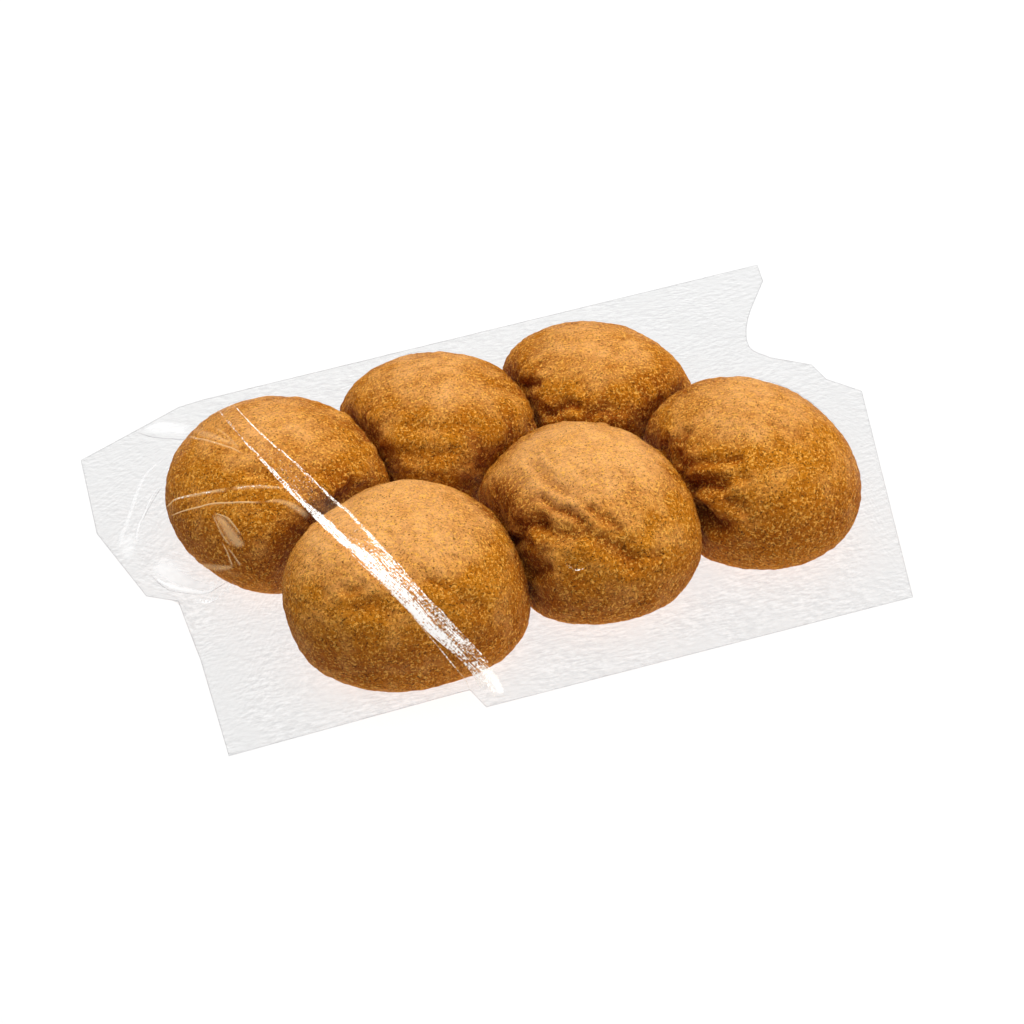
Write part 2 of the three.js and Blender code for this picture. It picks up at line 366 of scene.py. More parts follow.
EDGE = np.vstack([
    [(-136, -96, 1.5), (-49, -100, 11), (-46, -110, 11), (128, -97, 3),
     (162, 20, 10), (150, 30, 12), (147, 39, 14)],
    smooth_line([(131, 47, 16), (125, 56, 17), (132, 74, 18), (149, 97, 20)], 4),
    [(152, 110, 20), (-106, 91, 17), (-117, 89, 17),
     (-161, 66, 17), (-162, 19, 17), (-150, -20, 15), (-139, -23, 12),
     (-137, -31, 2), (-136, -46, 1.5)],
])
EDGE_LOOP = np.vstack([EDGE, EDGE[:1]])
FLAP_FOLD = np.array([(-139, -23, 12), (-112, -36, 12)])   # from here the flap drops steeply
FLAP_FOOT = np.array([(-137, -31, 2), (-112, -45, 3)])     # to here
FLAP_DROP = 12.0    # a point is on that slope if its distances from both lines add up to less
FLAP_END = -127.0   # and if it lies to the left of this
print("the edge has", len(EDGE), "corners")


# %% Distances to a line, for whole grids of points at once
def nearest_on(line, x, y):
    """Distance in plan to the line of 3-D points, the height there and the nearest point."""
    best = np.full(x.shape, np.inf)
    height, near_x, near_y = np.zeros(x.shape), np.zeros(x.shape), np.zeros(x.shape)
    for (ax, ay, az), (bx, by, bz) in zip(line, line[1:]):
        run = ((x - ax) * (bx - ax) + (y - ay) * (by - ay)) / ((bx - ax) ** 2 + (by - ay) ** 2)
        run = np.clip(run, 0, 1)
        px, py = ax + run * (bx - ax), ay + run * (by - ay)
        distance = np.hypot(x - px, y - py)
        closer = distance < best
        best = np.where(closer, distance, best)
        height = np.where(closer, az + run * (bz - az), height)
        near_x, near_y = np.where(closer, px, near_x), np.where(closer, py, near_y)
    return best, height, near_x, near_y


def is_inside(line, x, y):
    """Whether each point lies inside the closed line, seen from above."""
    inside = np.zeros(x.shape, dtype=bool)
    for (ax, ay, _), (bx, by, _) in zip(line, np.roll(line, -1, axis=0)):
        if ay != by:
            inside ^= ((ay > y) != (by > y)) & (x < ax + (y - ay) / (by - ay) * (bx - ax))
    return inside


# %% [markdown]
# ## Stretch the film
#
# A cloth simulation could lay a sheet over the rolls, but film doesn't hang: it is pulled tight.
# A tight sheet takes the flattest way between its edge and what it touches. On a grid, each free
# point takes the mean height of its four neighbours, and a point that would sink into a roll is
# lifted onto it. The lower sheet is made in the same way from below: it lies on the ground under
# the rolls, and rises to the folds. Rays cast at the finished rolls say where they are. The air in
# the bag shrank as the rolls cooled, so between the rolls each point lies a touch lower than that.

# %% Heights of the rolls under and over each point of the grid
STEP = 1.5                     # between two points of the grid
REACH_X, REACH_Y = 165, 114    # how far the grid reaches from the middle
AIR = 0.7                      # between a roll and the film
RAY_ABOVE, RAY_BELOW = 0.2, -0.1   # where the rays start, in metres
grid_x, grid_y = np.meshgrid(np.arange(-REACH_X, REACH_X + STEP, STEP),
                             np.arange(-REACH_Y, REACH_Y + STEP, STEP))


def tree_of(piece):
    """What rays are cast at."""
    bm = bmesh.new()
    bm.from_mesh(piece.data)
    tree = BVHTree.FromBMesh(bm)
    bm.free()
    return tree


def height_of_rolls(start, direction):
    found = np.full(grid_x.shape, np.nan)
    for index in np.ndindex(grid_x.shape):
        origin = Vector((grid_x[index] * MM, grid_y[index] * MM, start))
        hits = [tree.ray_cast(origin, Vector((0, 0, direction)))[0] for tree in roll_trees]
        levels = [hit.z / MM for hit in hits if hit]
        if levels:
            found[index] = max(levels) if direction < 0 else min(levels)
    return found


roll_trees = [tree_of(piece) for piece in rolls]
crowns = height_of_rolls(RAY_ABOVE, -1)
bellies = height_of_rolls(RAY_BELOW, 1)
print("highest crown", np.nanmax(crowns).round(1), "mm")


# %% Settle both sheets of the bag
VALLEY_PULL = 0.06   # how much the film's slope changes in a millimetre between the rolls
names = list(ROLLS)   # the near row and then the far row, each from left to right
RING = np.array([(ROLLS[name]["x"], ROLLS[name]["y"], 0) for name in names[:3] + names[:2:-1]])


def stretch(pins, pinned, press, dip=0.0, rounds=2500):
    """A sheet that is held where it is pinned, kept clear of the rolls by press, and drawn taut."""
    sheet = np.where(pinned, pins, 0.0)
    for _ in range(rounds):
        mean = (np.roll(sheet, 1, 0) + np.roll(sheet, -1, 0)
                + np.roll(sheet, 1, 1) + np.roll(sheet, -1, 1)) / 4
        sheet = np.where(pinned, pins, press(mean - dip))
    return sheet


edge_away, edge_height, _, _ = nearest_on(EDGE_LOOP, grid_x, grid_y)
in_bag = is_inside(EDGE, grid_x, grid_y)
fold_away, fold_height, _, _ = nearest_on(FLAP_FOLD, grid_x, grid_y)
foot_away, foot_height, _, _ = nearest_on(FLAP_FOOT, grid_x, grid_y)
on_slope = (fold_away + foot_away < FLAP_DROP) & (grid_x < FLAP_END)
slope_share = foot_away / (fold_away + foot_away)
on_edge = ~in_bag | (edge_away < STEP / 2)

SHEET_GAP = 0.5     # between the two sheets at the edge
GROUND_GAP = 0.15   # under the lower sheet
slope = foot_height + slope_share * (fold_height - foot_height)
upper_pins = np.where(on_edge, edge_height, slope)
dip = np.where(is_inside(RING, grid_x, grid_y), VALLEY_PULL * STEP ** 2 / 4, 0)
upper = stretch(upper_pins, on_edge | on_slope,
                lambda sheet: np.fmax(sheet, crowns + AIR), dip)
lower_pins = np.maximum(GROUND_GAP, np.where(on_edge, edge_height, foot_height) - SHEET_GAP)
lower = stretch(lower_pins, on_edge | on_slope,
                lambda sheet: np.clip(np.fmin(sheet, bellies - GROUND_GAP), GROUND_GAP, None))
upper = np.maximum(upper, lower + SHEET_GAP)
print("film from", lower.min().round(2), "to", upper.max().round(1), "mm")

# %% [markdown]
# ## Cut the film to its outline
#
# Each sheet starts as a flat grid. Faces outside the outline are deleted, and the vertices of the
# new border are moved onto the outline. Then the second sheet is a turned copy of the first, and
# the two are welded along the border, which makes a closed bag.

# %% Cut a flat grid to the outline
def plan(places):
    """The x and the y of places, as two arrays."""
    return np.array([place[:2] for place in places]).T


def cut_sheet():
    rows, columns = grid_x.shape
    bm = bmesh.new()
    bmesh.ops.create_grid(bm, x_segments=columns - 1, y_segments=rows - 1, size=0.5,
                          matrix=Matrix.Diagonal((2 * REACH_X, 2 * REACH_Y, 1, 1)))
    kept = is_inside(EDGE, *plan(face.calc_center_median() for face in bm.faces))
    outside = [face for face, keep in zip(bm.faces, kept) if not keep]
    bmesh.ops.delete(bm, geom=outside, context="FACES")
    border = [vertex for vertex in bm.verts if vertex.is_boundary]
    _, _, to_x, to_y = nearest_on(EDGE_LOOP, *plan(vertex.co for vertex in border))
    for vertex, x, y in zip(border, to_x, to_y):
        vertex.co.x, vertex.co.y = x, y
    for x, y, _ in EDGE:
        corner = min(border, key=lambda vertex: (vertex.co.x - x) ** 2 + (vertex.co.y - y) ** 2)
        corner.co.x, corner.co.y = x, y
    return bm


# %% Build the bag
def height_at(field, x, y):
    """Height of a sheet between the points of the grid."""
    column, row = (x + REACH_X) / STEP, (y + REACH_Y) / STEP
    i = np.clip(column.astype(int), 0, grid_x.shape[1] - 2)
    j = np.clip(row.astype(int), 0, grid_x.shape[0] - 2)
    u, v = column - i, row - j
    return ((field[j, i] * (1 - u) + field[j, i + 1] * u) * (1 - v)
            + (field[j + 1, i] * (1 - u) + field[j + 1, i + 1] * u) * v)


def lay(verts, field):
    for vertex, z in zip(verts, height_at(field, *plan(vertex.co for vertex in verts))):
        vertex.co.z = z


bag = cut_sheet()
top_verts = list(bag.verts)
copy = bmesh.ops.duplicate(bag, geom=bag.verts[:] + bag.edges[:] + bag.faces[:])
under_verts = [part for part in copy["geom"] if isinstance(part, bmesh.types.BMVert)]
under_faces = [part for part in copy["geom"] if isinstance(part, bmesh.types.BMFace)]
bmesh.ops.reverse_faces(bag, faces=under_faces)
lay(top_verts, upper)
lay(under_verts, lower)
border = [vertex for vertex in bag.verts if vertex.is_boundary]
_, levels, _, _ = nearest_on(EDGE_LOOP, *plan(vertex.co for vertex in border))
for vertex, level in zip(border, levels):
    vertex.co.z = level - SHEET_GAP / 2
bmesh.ops.remove_doubles(bag, verts=border, dist=0.01)

# %% Round the film softly where the flap drops to the margin
SOFT_REACH, SOFT_ROUNDS = 14, 6   # how far from the flap's fold, and how often it is smoothed
in_from_edge, _, _, _ = nearest_on(EDGE_LOOP, *plan(vertex.co for vertex in bag.verts))
near_fold, _, _, _ = nearest_on(FLAP_FOLD, *plan(vertex.co for vertex in bag.verts))
is_soft = (in_from_edge > 0.5) & (near_fold < SOFT_REACH)
soft = [vertex for vertex, softened in zip(bag.verts, is_soft) if softened]
for _ in range(SOFT_ROUNDS):
    bmesh.ops.smooth_vert(bag, verts=soft, factor=0.5, use_axis_z=True)
bmesh.ops.scale(bag, verts=bag.verts, vec=(MM, MM, MM))
film_bag = finish_part("film_bag", bag)


# %% [markdown]
# ## The pleat
#
# The film is wider than the rolls need, and the spare width is laid in a pleat. It runs from the
# far fold over the first roll of each row to the tab at the near edge. Along its folds, where the
# tight film would glint, a white, grainy painted highlight is laid. It is a low arched strip that
# lies on the bag.
#
# Each line of the table gives a point of both borders in plan. Then it says where the painted
# highlight of the left fold ends and where that of the right fold starts, as shares of the strip's
# width, and how strong the painted highlights of the left fold, the right fold and between them
# are.

# %% The borders of the pleat in millimetres, from the far fold to the tab
PLEAT = [
    # left border, right border, end of left fold, start of right fold, left, right, between
    (-109, 89, -103, 87, 0.1, 0.85, 0, 0, 0),
    (-108.8, 62, -102, 56, 0.1, 0.85, 0, 0, 0),
    (-107.7, 42.6, -100, 31.4, 0.1, 0.88, 0.23, 0.44, 0),
    (-106.9, 31, -98.8, 24.2, 0.12, 0.88, 0.41, 0.55, 0),
    (-105.7, 23.1, -97.1, 17.2, 0.12, 0.88, 0.47, 0.55, 0),
    (-104.2, 16.1, -95.1, 10.5, 0.09, 0.86, 0.54, 0.51, 0),
    (-103.2, 10.2, -92.8, 4.9, 0.1, 0.85, 0.59, 0.48, 0.1),
    (-101.7, 4.4, -90.3, 0.2, 0.11, 0.85, 0.65, 0.48, 0.1),
    (-100, -0.3, -87.8, -4.2, 0.11, 0.85, 0.65, 0.48, 0.1),
    (-98.2, -4.7, -85.3, -8.5, 0.13, 0.85, 0.61, 0.48, 0.14),
    (-96.6, -8.6, -83.2, -12.3, 0.15, 0.86, 0.63, 0.48, 0.19),
    (-95, -12.4, -81.4, -16.3, 0.18, 0.87, 0.59, 0.51, 0.19),
    (-93.5, -15.9, -79.7, -21.2, 0.21, 0.88, 0.59, 0.53, 0.19),
    (-91.9, -19.9, -78, -28.6, 0.23, 0.87, 0.61, 0.55, 0.14),
    (-90.1, -24.7, -76.4, -37.9, 0.24, 0.85, 0.67, 0.55, 0.1),
    (-88.5, -31, -75.1, -46, 0.27, 0.85, 0.7, 0.55, 0.1),
    (-87.4, -39.2, -73.8, -52, 0.28, 0.85, 0.72, 0.57, 0.1),
    (-86.4, -48, -72.4, -57.1, 0.3, 0.84, 0.72, 0.57, 0.14),
    (-84.6, -54.9, -70.8, -61.7, 0.31, 0.81, 0.72, 0.57, 0.24),
    (-82.2, -60.7, -69.3, -65.7, 0.32, 0.76, 0.72, 0.55, 0.33),
    (-80, -65.6, -67.6, -69.6, 0.45, 0.71, 0.7, 0.53, 0.46),
    (-78.3, -69.8, -65.8, -73, 0.48, 0.78, 0.68, 0.49, 0.51),
    (-77, -73, -64.2, -76.2, 0.49, 0.86, 0.68, 0.49, 0.51),
    (-75.1, -76.3, -62.7, -79.2, 0.51, 0.91, 0.7, 0.51, 0.51),
    (-70.9, -81.6, -59.1, -83.9, 0.5, 0.93, 0.72, 0.56, 0.5),
    (-67.2, -85.8, -54.8, -86.9, 0.48, 0.94, 0.74, 0.58, 0.49),
    (-62.8, -89, -50, -89.7, 0.45, 0.94, 0.74, 0.58, 0.5),
    (-57.2, -91.7, -45.6, -93.1, 0.44, 0.94, 0.7, 0.55, 0.51),
    (-51.5, -94.9, -41.6, -97.3, 0.5, 0.94, 0.51, 0.41, 0.4),
    (-47.6, -98.8, -39.2, -101.9, 0.62, 0.94, 0.51, 0.35, 0.4),
    (-45.6, -104, -38, -106.6, 0.64, 0.95, 0.38, 0.28, 0.21),
    (-44.9, -107.5, -38.4, -109, 0.66, 0.95, 0.21, 0.14, 0.08),
]
PLEAT_ARCH = 0.8    # height of the arched strip above the film
FILM_LIFT = 0.25    # between two layers of film


# %% Cast rays at the bag to lay things on it
bag_tree = tree_of(film_bag)


def level_on_bag(x, y):
    """Height of the bag's upper sheet in millimetres; off the bag, that of the nearest place."""
    hit = bag_tree.ray_cast(Vector((x * MM, y * MM, 0.2)), Vector((0, 0, -1)))[0]
    if hit is None:
        hit = bag_tree.find_nearest(Vector((x * MM, y * MM, 0.01)))[0]
    return hit.z / MM


# %% Lay a strip of film on the bag
def soft_step(value, start, end):
    t = np.clip((value - start) / (end - start), 0, 1)
    return t * t * (3 - 2 * t)


def hump(value, start, full, fall, end):
    """0 up to start, 1 from full to fall, and 0 again from end on."""
    return soft_step(value, start, full) * (1 - soft_step(value, fall, end))


# The first two layers carry a crease's painted highlight and its painted reflection.
STRIP_LAYERS = ("glint", "reflection", "over_crust", "along", "across")


def new_strips():
    """A bmesh whose vertices carry painted highlights, what is below them and where on a strip."""
    bm = bmesh.new()
    return bm, {name: bm.verts.layers.float.new(name) for name in STRIP_LAYERS}


def add_strip(bm, layers, stations, columns, show, arch, lift, over_crust=1):
    """Adds a strip between two borders. show(across, station) gives its painted highlight and
    reflection.
    """
    made = bmesh.ops.create_grid(bm, x_segments=columns - 1, y_segments=len(stations) - 1,
                                 size=0.5)
    verts = sorted(made["verts"], key=lambda vertex: (round(vertex.co.y, 6), vertex.co.x))
    along = 0.0
    for i, station in enumerate(stations):
        left, right = station[:2], station[2:4]
        if i:
            along += np.linalg.norm(left - stations[i - 1][:2])
        for j, vertex in enumerate(verts[i * columns:(i + 1) * columns]):
            across = j / (columns - 1)
            x, y = left + (right - left) * across
            rise = lift + arch * math.sin(math.pi * across) ** 0.6 if 0 < across < 1 else lift
            vertex.co = Vector((x, y, level_on_bag(x, y) + rise)) * MM
            vertex[layers["glint"]], vertex[layers["reflection"]] = show(across, station)
            vertex[layers["over_crust"]] = over_crust
            vertex[layers["along"]] = along
            vertex[layers["across"]] = across * np.linalg.norm(right - left)
    faces = {face for vertex in verts for face in vertex.link_faces}
    for face in faces:
        face.normal_update()
    bmesh.ops.reverse_faces(bm, faces=[face for face in faces if face.normal.z < 0])


# %% Build the pleat
def show_pleat(across, station):
    # Painted highlights along both folds of the pleat and between them, and a faint painted
    # reflection.
    left_end, right_start, left, right, between = station[4:]
    left_fold = left * hump(across, 0.0, 0.04, 0.75 * left_end, 1.15 * left_end)
    right_fold = right * hump(across, right_start - 0.06, right_start + 0.03, 0.96, 1.0)
    middle = between * hump(across, 0.0, 0.1, 0.93, 1.0)
    reflection = 0.06 * max(left, right) * math.sin(math.pi * across)
    return max(left_fold, right_fold, middle), reflection


bm, layers = new_strips()
add_strip(bm, layers, smooth_line(PLEAT, 5), 33, show_pleat, PLEAT_ARCH, FILM_LIFT)
film_pleat = finish_part("film_pleat", bm)

# %% [markdown]
# ## The small creases
#
# On the left the film runs down steeply to the loose flap. It is drawn into long creases there, and
# buckles where it has nowhere to go. A crease is a strip that lies on the bag, with a painted
# highlight along its ridge and a pale painted reflection where the film is folded over. A line
# gives a narrow crease, and points of both borders give a wide one.
#
# Each row starts with the strengths of the painted highlight and the painted reflection, and with 1
# over a roll or 0 on the margin. Narrow creases have three widths next, at the start, in the middle
# and at the end.

# %% Narrow creases: painted highlight, painted reflection, over a roll, widths and line, in millimetres
LINES = [
    (0.5, 0.16, 1, (0.4, 0.8, 0.6), (-82.3, -59.5), (-80.8, -64.8), (-79.1, -69.1),
     (-77.2, -72.7), (-75, -76.4), (-72.7, -79.6), (-70.3, -82.2), (-67.9, -84.8)),
    (0.42, 0.12, 1, (0.4, 0.6, 0.5), (-80.8, -62), (-79.1, -66.7), (-77.4, -70.8), (-75.5, -74.3),
     (-73.2, -77.8), (-70.9, -80.8), (-68.8, -83.2)),
    (0.45, 0.28, 1, (0.5, 0.45, 0.35), (-67.9, -84.8), (-65.1, -87.5), (-62.2, -89.4),
     (-59.2, -91.3), (-56.3, -93.4), (-53.4, -95.8), (-50.3, -98.7), (-47.9, -101.6)),
    (0.38, 0.4, 1, (0.8, 1.1, 1.5), (-136.2, 7.3), (-134.1, 7.4), (-131.7, 7), (-127.4, 3.4),
     (-123.3, -0.3), (-118.1, -3.8), (-112.9, -7)),
    (0.35, 0.3, 1, (1.6, 1.6, 1.0), (-112.9, -7), (-107.6, -9.4), (-102.4, -11.4), (-97.2, -13.5),
     (-94.2, -15.1)),
    (0.2, 0.48, 1, (0.6, 0.7, 0.8), (-136.3, 3.3), (-132.2, 1.4), (-127.9, -1.4), (-123.3, -5),
     (-118.1, -8.2), (-112.7, -12.1), (-107.2, -14.9), (-102.4, -16.9)),
    (0.0, 0.32, 1, (0.5, 0.8, 0.4), (-121, -9.8), (-120, -13.4), (-119.3, -16.3), (-118.3, -19.1),
     (-116.8, -21.8)),
    (0.0, 0.42, 1, (0.5, 0.8, 0.4), (-120.2, -9.9), (-116.5, -14.3), (-114.2, -18.6),
     (-112.6, -22.2)),
    (0.0, 0.36, 1, (0.3, 0.7, 0.7), (-119.7, -18.5), (-118.8, -21.5), (-118.3, -24.4),
     (-117.8, -27.3)),
    (0.0, 0.34, 1, (0.3, 0.6, 0.8), (-118.2, -21.2), (-116.9, -24.2), (-116, -27),
     (-115.1, -29.7)),
    (0.2, 0.34, 1, (1.0, 1.2, 0.6), (-121.3, 35.6), (-118.3, 26.8), (-115, 20.6), (-111.1, 14.4),
     (-107.5, 9.2), (-104.7, 4)),
    (0.0, 0.14, 1, (0.5, 1.6, 0.8), (-111.4, 28.7), (-109.2, 21.5), (-107.2, 14.2), (-105.5, 7.4)),
    (0.0, 0.24, 0, (1.6, 2.8, 2.8), (-128.3, 32.1), (-133, 34.2), (-137.4, 33.3), (-140.7, 30.9),
     (-143.6, 26.7), (-146.2, 22), (-148.7, 17.6), (-151.2, 13.4), (-154.1, 9.4), (-155.8, 5)),
    (0.0, 0.32, 0, (0.8, 1.2, 1.6), (-135.8, 19.2), (-139, 17.9), (-141.6, 15.2), (-143.9, 12.3),
     (-146, 10.2), (-147.9, 7), (-149.2, 2.9)),
    (0.2, 0.62, 0, (0.8, 1.7, 0.8), (-145.6, -13.8), (-143.1, -16.8), (-139.2, -19.4),
     (-134.2, -21.4), (-128.8, -24.4), (-122, -27.4)),
]

# %% Wide creases: painted highlight, painted reflection, over a roll and points of both borders, in millimetres
FOLDS = [
    (0.1, 0.22, 1, (-103.1, -16.7, -103, -16.4), (-99, -18.8, -97.9, -17.5),
     (-95.4, -22.3, -94, -19.9), (-92.2, -28.1, -90.8, -23.9), (-90, -35.1, -87.7, -31.8)),
    (0.0, 0.34, 1, (-121, -9.8, -120.2, -9.9), (-120, -13.4, -116.5, -14.3),
     (-119.3, -16.3, -114.2, -18.6), (-118.3, -19.1, -112.6, -22.2),
     (-116.8, -21.8, -111.9, -24.4), (-114.8, -24.4, -111.7, -25.9)),
    (0.1, 0.26, 1, (-128.4, -19, -128.6, -17.2), (-125.2, -21.8, -124.6, -20.1),
     (-121.5, -25.1, -120.9, -23.4), (-117.6, -27.9, -117.3, -27.1)),
    (0.0, 0.15, 1, (-119.3, 32.4, -116.5, 36.9), (-115.7, 22.8, -113, 26.5),
     (-111.4, 16.7, -109.4, 18.7), (-107.1, 10.8, -106.3, 10.9)),
    (0.0, 0.26, 0, (-136.6, 75.2, -130.1, 79.6), (-132.8, 63, -123.7, 77.9),
     (-127.2, 50.2, -119.1, 63.6), (-121.9, 34.4, -116, 43.4)),
    (0.0, 0.3, 0, (-147.1, -10.9, -144.3, -6.9), (-144.8, -15.9, -138.9, -9),
     (-141.2, -19.6, -133.6, -13.9), (-136, -21.2, -129.6, -19.1), (-129.1, -24.3, -125.9, -23.4),
     (-122.3, -27.9, -120.6, -27)),
    (0.0, 0.22, 0, (-156.0, 10.7, -147.6, 9.1), (-156.8, 5.3, -147.4, 3),
     (-155.2, 0.2, -150.9, -2)),
    (0.42, 0.05, 0, (-134.5, -25.8, -134.6, -22.4), (-129.6, -27.7, -129, -25.1),
     (-124.1, -30.5, -123.5, -28.1), (-118.5, -33.1, -118.1, -31)),
    (0.35, 0.5, 0, (-46.4, -97.4, -41.7, -98.6), (-44.7, -100.9, -38.7, -102.1),
     (-42.5, -104.5, -37.9, -105), (-40.9, -107.5, -37.9, -107.7)),
    (0.32, 0.0, 1, (-6.1, -74.8, -4.7, -74.3), (-5.4, -77.3, -3.5, -76.3),
     (-2.5, -79.1, -1.3, -77.7), (1.2, -79.4, 1.8, -78.7)),
]
CREASE_ARCH, CREASE_LIFT = 0.25, 0.35
print(len(LINES), "narrow creases and", len(FOLDS), "wide ones")


# %% How a small crease runs and what it shows
def borders_of(line, widths):
    """Stations of a strip that has the line in its middle."""
    line = np.array(smooth_line(line, 6))
    run = np.gradient(line, axis=0)
    aside = np.stack([-run[:, 1], run[:, 0]], axis=1) / np.linalg.norm(run, axis=1)[:, None] / 2
    half = np.interp(np.linspace(0, 2, len(line)), [0, 1, 2], widths)[:, None]
    place = np.linspace(0, 1, len(line))[:, None]
    return np.hstack([line + aside * half, line - aside * half, place])


def fade(place):
    """From 0 at both ends of a crease to 1 along it."""
    return hump(place, 0.0, 0.15, 0.85, 1.0)


def ridge(across):
    return math.sin(math.pi * across)


def plateau(across):
    return hump(across, 0.0, 0.4, 0.6, 1.0)


def shown(glint, reflection, profile):
    """Painted highlight and reflection, fading at a crease's ends and to its borders as the profile
    says.
    """
    def show(across, station):
        strength = fade(station[4]) * profile(across)
        return glint * strength, reflection * strength
    return show


# %% Build the small creases
bm, layers = new_strips()
for glint, reflection, over_crust, widths, *line in LINES:
    add_strip(bm, layers, borders_of(line, widths), 5, shown(glint, reflection, ridge),
              CREASE_ARCH, CREASE_LIFT, over_crust)
for glint, reflection, over_crust, *borders in FOLDS:
    shares = np.linspace(0, 1, len(borders))
    stations = smooth_line([(*border, share) for border, share in zip(borders, shares)], 6)
    add_strip(bm, layers, stations, 13, shown(glint, reflection, plateau),
              CREASE_ARCH, CREASE_LIFT / 2, over_crust)
film_creases = finish_part("film_creases", bm)

# %% [markdown]
# ## Folded and welded lines
#
# Where the film is folded or welded it is thick, and shows as a thin grey line: round the whole
# edge of the bag, and thinner along three folds of the loose flap. A curve with a bevel makes such
# a line quickly. It is then turned into a mesh.

# %% Build the thick lines
FOLD_LINES = [
    [(-136.7, 74.9), (-132.8, 63.5), (-127.2, 50.2), (-121.9, 34.4)],
    [(-135.1, 18.3), (-138.5, 16.1), (-142, 13.4), (-144.7, 10.5)],
    [(-147.1, -10.9), (-144.8, -15.9), (-141.2, -19.6), (-136, -21.2), (-129.1, -24.3),
     (-122.3, -27.9), (-115.5, -31.9)],
]
EDGE_LINE = 0.20   # half the thickness of a line in millimetres
curve = bpy.data.curves.new("thick_lines", "CURVE")
curve.dimensions = "3D"
curve.bevel_depth = EDGE_LINE * MM
curve.bevel_resolution = 1


def add_line(places, thickness):
    """Adds a line through places in millimetres, with a share of the thickness for each."""
    spline = curve.splines.new("POLY")
    spline.points.add(len(places) - 1)
    for point, place, share in zip(spline.points, places, thickness):
        point.co = (*np.array(place) * MM, 1)
        point.radius = share
    return spline


add_line(EDGE - (0, 0, SHEET_GAP / 2), np.ones(len(EDGE))).use_cyclic_u = True
for line in FOLD_LINES:
    places = [(x, y, level_on_bag(x, y) + FILM_LIFT) for x, y in smooth_line(line, 5)]
    thinner = 0.1 + 0.7 * fade(np.linspace(0, 1, len(places)))
    add_line(places, thinner)
lines = bpy.data.objects.new("thick_lines", curve)
bpy.context.scene.collection.objects.link(lines)
bpy.context.view_layer.update()
bm = bmesh.new()
bm.from_mesh(lines.to_mesh())
lines.to_mesh_clear()
bpy.data.objects.remove(lines)
film_edge = finish_part("film_edge", bm)


# %% [markdown]
# ## Colours and nodes
#
# Colours are written as the hex values that a colour picker shows, and one function turns them
# into the linear values that Blender's sockets take. A second small function adds a node and gives
# back one of its outputs. Each new material comes with a form of it, called add, that adds to it.

# %% Helpers for materials
def colour(hex_code):
    values = [int(hex_code[i:i + 2], 16) / 255 for i in (1, 3, 5)]
    return (*[v / 12.92 if v <= 0.04045 else ((v + 0.055) / 1.055) ** 2.4 for v in values], 1)


def add_node(tree, kind, *values, output=None, **named):
    """Adds a node. Its sockets take the values, or other nodes' outputs, in order or by name.

    Names with a capital are sockets, and names without one are the node's settings. It gives back
    the named output, or else the first.
    """
    node = tree.nodes.new("ShaderNode" + kind)
    for name, value in named.items():
        if name.islower():
            setattr(node, name, value)
    links = list(zip([socket for socket in node.inputs if socket.enabled], values))
    links += [(node.inputs[name.replace("_", " ")], value)
              for name, value in named.items() if not name.islower()]
    for socket, value in links:
        if isinstance(value, bpy.types.NodeSocket):
            tree.links.new(value, socket)
        else:
            socket.default_value = value
    return node.outputs[output] if output else next((s for s in node.outputs if s.enabled), None)


def new_material(name):
    material = bpy.data.materials.new(name)
    material.use_nodes = True
    material.node_tree.nodes.clear()
    return material, partial(add_node, material.node_tree)


# %% [markdown]
# ## Wholemeal crust
#
# Soft wholemeal rolls are baked pale and steamy, so the crust is matt and golden brown, without a
# shine. Bran shows as dark flecks of a millimetre and as short, curly fibres, and bits of endosperm
# as pale ones. Light and shade are painted into the colour: a pale painted sheen on the crown,
# darker brown painted shade on the sides above a lighter foot, and redder, darker painted shade in
# the folds. They are read from attributes that were stored with the shape. Each colour is laid over
# those before it.

# %% Patterns of the crust
PER_MM = 1 / MM   # a noise scale of this over a width in millimetres has features of that width
STROKE = 0.08     # thickness of a fibre, as a share of the noise's range
crust, add = new_material("baked_wholemeal_crust")
place = add("TexCoord", output="Object")
crown = add("Attribute", attribute_name="crown", output="Fac")
fold = add("Attribute", attribute_name="fold", output="Fac")


def fibres(width, kept, strength):
    """Short curly strokes: the contour lines of a noise, broken up by another."""
    off_line = add("Math", add("TexNoise", place, PER_MM / width), 0.5, operation="SUBTRACT")
    off_line = add("Math", off_line, operation="ABSOLUTE")
    on_line = add("MapRange", off_line, STROKE, 0.3 * STROKE)
    whole = add("TexNoise", place, PER_MM / (0.8 * width), 1.0)
    whole = add("MapRange", whole, kept, kept + 0.05, 0.0, strength)
    return add("Math", on_line, whole, operation="MULTIPLY")


mottle = add("TexNoise", place, PER_MM / 11, 3.0)
grain = add("TexNoise", place, PER_MM / 1.1, 5.0, 0.9)
bran = add("TexNoise", place, PER_MM / 0.9, 2.0, 0.6)
# A painted sheen on the crown, broken up by the mottle.
painted_sheen = add("Math", add("MapRange", crown, 0.86, 1.08),
             add("MapRange", mottle, 0.3, 0.7, -0.35, 0.35), operation="ADD")
calm = add("MapRange", painted_sheen, 0, 1, 1.0, 0.5)   # the crown under the painted sheen has fewer dark specks
specks = add("Math", calm, add("MapRange", grain, 0.50, 0.38, 0.0, 0.7), operation="MULTIPLY")
dark_fibres = add("Math", calm, fibres(1.1, 0.53, 0.8), operation="MULTIPLY")

